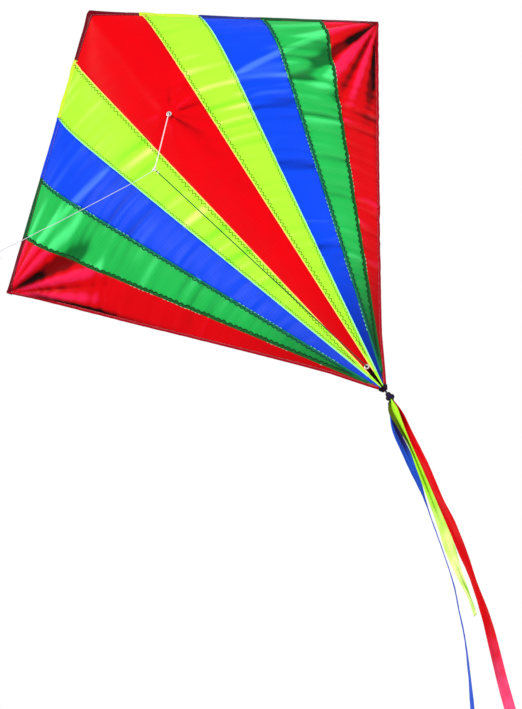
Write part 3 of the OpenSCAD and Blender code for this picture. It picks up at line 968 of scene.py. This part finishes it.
def add_hems():
    for side, word in SIDES:
        for colour, start, end in zip(HEM_COLOURS, SEAM_BOUNDS, SEAM_BOUNDS[1:]):
            add_hem(side, word, "leading", start, end, colour, LEADING_HEM)
        add_hem(side, word, "trailing", TRAILING_START, 1, "red", TRAILING_HEM)
        add_hem_stitches(side, word, "leading", LEADING_HEM)
        add_hem_stitches(side, word, "trailing", TRAILING_HEM)


add_hems()


# ---------------------------------------------------------------- sewn pockets on the back
# One half of a sleeve across: share of its half width, and share of its height
SLEEVE_HALF = [(1.9, 0.0), (1.35, 0.1), (1.0, 0.45), (0.7, 0.8), (0.35, 0.97)]
SLEEVE = [(-a, h) for a, h in SLEEVE_HALF] + [(0, 1.0)] + SLEEVE_HALF[::-1]
SLEEVE_ROWS = 14
SLEEVE_STITCH = 3


def add_pocket(name, place, length, half_width, height):
    """Half sleeve of doubled cloth; place maps (along, across, out) in mm to the part's frame."""
    grid, uvs = [], []
    for r in range(SLEEVE_ROWS + 1):
        share = r / SLEEVE_ROWS
        pinch = 1 + 0.08 * math.sin(5.3 * math.pi * share)
        tall = height * (1.02 - 0.1 * share)
        grid.append([place(length * share, pinch * a * half_width, tall * h) for a, h in SLEEVE])
        uvs.append([(0.01 * c / len(SLEEVE), length * MM * share) for c in range(len(SLEEVE))])
    piece = grid_piece(name + "_cloth", grid, POCKET_CLOTH, "kite", uvs, thickness=0.4)
    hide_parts(name)
    stitches = []
    for across in (-1.6 * half_width, 1.6 * half_width):
        for i in range(int(length / SLEEVE_STITCH)):
            run = SLEEVE_STITCH * i
            stitches.append([place(run + 0.4, across, 0.5), place(run + 2.4, across, 0.5)])
    curve_piece(name + "_stitches", stitches, 0.4, THREAD["hem"], "kite", round_steps=0)


def add_pockets():
    """Sleeves for the ends of the spine, then for the ends of the spar."""
    back = 1.2
    nose_end, tail_end = NOSE_Z - 11, TAIL_Z + 18
    add_pocket("nose_pocket", lambda a, w, h: Vector((w, back + h, nose_end - a)), 28, 4.0, 7.0)
    add_pocket("tail_pocket", lambda a, w, h: Vector((w, back + h, tail_end + a)), 22, 3.6, 7.0)
    for side, word in SIDES:
        way = Vector((math.cos(SPAR_ANGLE), math.sin(SPAR_ANGLE), 0))
        out = Vector((-math.sin(SPAR_ANGLE), math.cos(SPAR_ANGLE), 0))

        def place(a, w, h, side=side):
            p = SPAR_END + (-2.5 - a) * way + (h - 1.2) * out
            return Vector((side * p.x, p.y, w))

        add_pocket(word + "_tip_pocket", place, 12, 3.3, 5.0)


add_pockets()


# ---------------------------------------------------------------- dark binding of the tail corner
def add_tail_binding():
    """Folded strip round the sail's tail corner and the spine's cap; its lower rim is higher at the back."""
    rows, around = 16, 24
    top, drop = TAIL_Z + 9, 7.2
    grid = []
    for r in range(rows + 1):
        t = r / rows
        z = top - drop * t
        # Half width, front and back, drawn in from the strip's upper edge to its lower rim
        wide = 3.2 * (1 - t) + 3.6
        front = -1.6 + 1.5 * t
        back = 8.6 - 1.4 * t
        middle, deep = (front + back) / 2, (back - front) / 2
        ring = []
        for k in range(around + 1):
            a = math.tau * k / around
            crumple = 1 + 0.07 * noise.noise(Vector((3 * math.cos(a), 3 * math.sin(a), z / 5)))
            slant = 1.6 * t * (1 + math.sin(a))
            x, y = wide * crumple * math.cos(a), middle + deep * crumple * math.sin(a)
            ring.append(Vector((x, y, z + slant)))
        grid.append(ring)
    uvs = [[(0.04 * k / around, 0.022 * r / rows) for k in range(around + 1)] for r in range(rows + 1)]
    grid_piece("tail_corner_binding", grid, BINDING, "kite", uvs)


add_tail_binding()


# ---------------------------------------------------------------- tail ribbons
# Rows down each ribbon: x, y and z of its middle, the share of its width that is spread out, and the turn of
# its width about the vertical in degrees
RED_ROUTE = [
    (-0.4, 6.4, -501.8, 0.25, 0), (-3, 12, -522, 0.6, 10), (-9, 17, -546, 0.8, 20), (-18, 23, -590, 1, 30),
    (-30, 29, -638, 1, 30), (-37, 34, -678, 1, 35), (-49, 40, -724, 1, 50), (-59, 44, -757, 1, 60),
    (-74, 50, -802, 1, 40), (-94, 56, -850, 1, 20), (-107, 60, -881, 1, 10), (-119, 62, -912, 1, 5),
    (-137, 66, -960, 1, 0)
]
YELLOW_ROUTE = [
    (-2.6, 2.0, -501.8, 0.3, 0), (-5.6, 0.2, -508, 0.66, -5), (-8.5, -1, -519, 0.9, -10),
    (-13, -1, -541, 0.6, -20), (-18, 2, -566, 0.32, -10), (-27, 6, -600, 0.5, 0), (-38, 11, -641, 0.65, 0),
    (-48, 15, -677, 0.8, 0), (-56, 19, -702, 1, 10), (-66, 23, -734, 0.75, 30), (-75, 27, -768, 0.45, 50),
    (-83, 32, -794, 0.08, 70)
]
BLUE_ROUTE = [
    (-4.4, 4.6, -501.6, 0.27, 90), (-11, 6, -513, 0.5, 70), (-20, 9, -536, 0.8, 40), (-27, 14, -568, 0.9, 35),
    (-37, 21, -607, 0.9, 60), (-47, 27, -639, 1, 85), (-58, 31, -674, 1, 90), (-66, 35, -700, 1, 90),
    (-79, 41, -737, 1, 90), (-95, 47, -772, 1, 90), (-113, 52, -809, 1, 90), (-135, 58, -847, 1, 85),
    (-157, 62, -883, 1, 75), (-190, 68, -940, 1, 60)
]


ROUTE_STEPS = 7
RIBBON_ACROSS = [i / 8 - 1 for i in range(17)]
# Ripples of a ribbon: height, length along it, how busy across it, and where they grow down from the knot
FLUTTERS = [(0.9, 34, 0.7, 10, 60), (0.35, 9, 1.6, 20, 90)]


def between(p, q, r, s, t):
    """Catmull-Rom value a share t of the way from q to r."""
    slope, bend, twist = r - p, 2 * p - 5 * q + 4 * r - s, 3 * q - p - 3 * r + s
    return 0.5 * (2 * q + slope * t + bend * t * t + twist * t ** 3)


def spline_values(route, steps):
    """Smooth values through every row of a route."""
    rows = [route[0], *route, route[-1]]
    values = []
    for i in range(len(route) - 1):
        a, b, c, d = rows[i : i + 4]
        for k in range(steps):
            values.append([between(p, q, r, s, k / steps) for p, q, r, s in zip(a, b, c, d)])
    values.append(list(route[-1]))
    return values


def ribbon_row(middle, share, angle, run, cup, seed):
    """Points across a ribbon, pleated where its width isn't all spread out, and how far each one flutters."""
    a = math.radians(angle)
    along, out = Vector((math.cos(a), math.sin(a), 0)), Vector((-math.sin(a), math.cos(a), 0))
    fold = math.sqrt(max(0, 1 - share * share)) * RIBBON_W / 6
    points, flutters = [], []
    for w in RIBBON_ACROSS:
        flutter = 0
        for i, (height, ripple, busy, low, high) in enumerate(FLUTTERS):
            rough = noise.noise(Vector((run / ripple, w * busy, seed + 5 * i)))
            flutter += height * rough * smooth(low, high, run)
        depth = fold * math.cos(1.5 * math.pi * w) + cup * (1 - w * w) * share + flutter
        points.append(middle + w * share * RIBBON_W / 2 * along + depth * out)
        flutters.append(flutter)
    return points, flutters


def add_ribbon(colour, route, cup, seed, half_shade=0.0, fade=(0, 1, 0.0)):
    """A limp ribbon: gathered in pleats at the knot, then opening flat with soft ripples along it.

    half_shade paints shade on one half near the knot: the left half above 0, the right half below 0.
    fade is where along the ribbon its painted highlight starts and stops growing, and how strong it gets.
    """
    grid, uvs, shade, shine = [], [], [], []
    run, last = 0, Vector(route[0][:3])
    for x, y, z, share, angle in spline_values(route, ROUTE_STEPS):
        middle = Vector((x, y, z))
        run += (middle - last).length
        last = middle
        row, flutters = ribbon_row(middle, share, angle, run, cup, seed)
        grid.append(row)
        uvs.append([(w * RIBBON_W / 2 * MM, run * MM) for w in RIBBON_ACROSS])
        for w, flutter in zip(RIBBON_ACROSS, flutters):
            # Painted shade on one half near the knot and in the hollows of the ripples, and a painted
            # highlight in patches
            under = smooth(-0.2, 0.25, -w if half_shade > 0 else w)
            shade.append(abs(half_shade) * under * (1 - smooth(55, 90, run)) + 0.2 * smooth(0, 0.6, -flutter))
            patch = 0.8 + noise.noise(Vector((run / 16, w * 0.8, seed + 9)))
            shine.append(fade[2] * smooth(fade[0], fade[1], run) * min(1, patch))
    body = colour + "_tail_ribbon"
    piece = grid_piece(colour + "_ribbon_cloth", grid, RIBBON[colour], body, uvs, thickness=0.12)
    paint(piece, "shade", shade)
    paint(piece, "shine", shine)
    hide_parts(colour + "_ribbon")


def add_tail():
    """The three ribbons, the knot that holds them and the collar of cord above it."""
    add_ribbon("red", RED_ROUTE, 1.2, 3.0, fade=(310, 420, 0.9))
    add_ribbon("yellow", YELLOW_ROUTE, -1.2, 11.0, half_shade=1.0, fade=(110, 240, 0.9))
    add_ribbon("blue", BLUE_ROUTE, 0.8, 23.0, half_shade=-0.9)
    centre = Vector((-0.6, SPINE_Y, KNOT_Z - 0.2))
    loops = [overhand(centre, (0.3, 1, 0.2), 4.3), overhand(centre, (1, -0.2, 0.4), 3.4)]
    knot = curve_piece("tail_knot_turns", loops, 3.6, KNOT_CLOTH, "tail", round_steps=4)
    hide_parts("tail_knot")
    collar = turns(centre + Vector((0, 0, 3.7)), (0, 0, 1), 2.2, 1.7, 3)
    curve_piece("tail_knot_collar", [collar], 2.1, KNOT_CLOTH, "tail", round_steps=4)


add_tail()
dress_cad_nodes()


# ---------------------------------------------------------------- floor, light and background
LIGHT_AIM = Vector((0, 0, -0.15))


def add_floor():
    """A wide sheet of pale paper far below the kite."""
    size, level = 60, -4.2
    mesh = bpy.data.meshes.new("floor")
    corners = [(-size, -size, level), (size, -size, level), (size, size, level), (-size, size, level)]
    mesh.from_pydata(corners, [], [(0, 1, 2, 3)])
    floor = bpy.data.objects.new("floor", mesh)
    bpy.context.scene.collection.objects.link(floor)
    material, _, shader = new_material("floor_paper")
    shader.inputs["Base Color"].default_value = (0.86, 0.86, 0.85, 1)
    shader.inputs["Roughness"].default_value = 0.9
    mesh.materials.append(material)


def add_light(name, place, size, power):
    data = bpy.data.lights.new(name, "AREA")
    data.shape = "DISK"
    data.size = size
    data.energy = power
    light = bpy.data.objects.new(name, data)
    bpy.context.scene.collection.objects.link(light)
    light.location = place
    light.rotation_euler = (LIGHT_AIM - Vector(place)).to_track_quat("-Z", "Y").to_euler()


def add_stage():
    add_floor()
    add_light("key", (-2.4, -3.4, 1.8), 0.8, 240)
    add_light("fill", (3.4, -2.4, -0.4), 1.2, 150)
    add_light("back", (0.5, 3.5, 2.0), 2.0, 80)
    world = bpy.data.worlds.new("studio")
    world.use_nodes = True
    sky = world.node_tree.nodes["Background"]
    sky.inputs["Color"].default_value = (1, 1, 1, 1)
    sky.inputs["Strength"].default_value = 1.0
    scene = bpy.context.scene
    scene.world = world
    scene.view_settings.view_transform = "Standard"


add_stage()
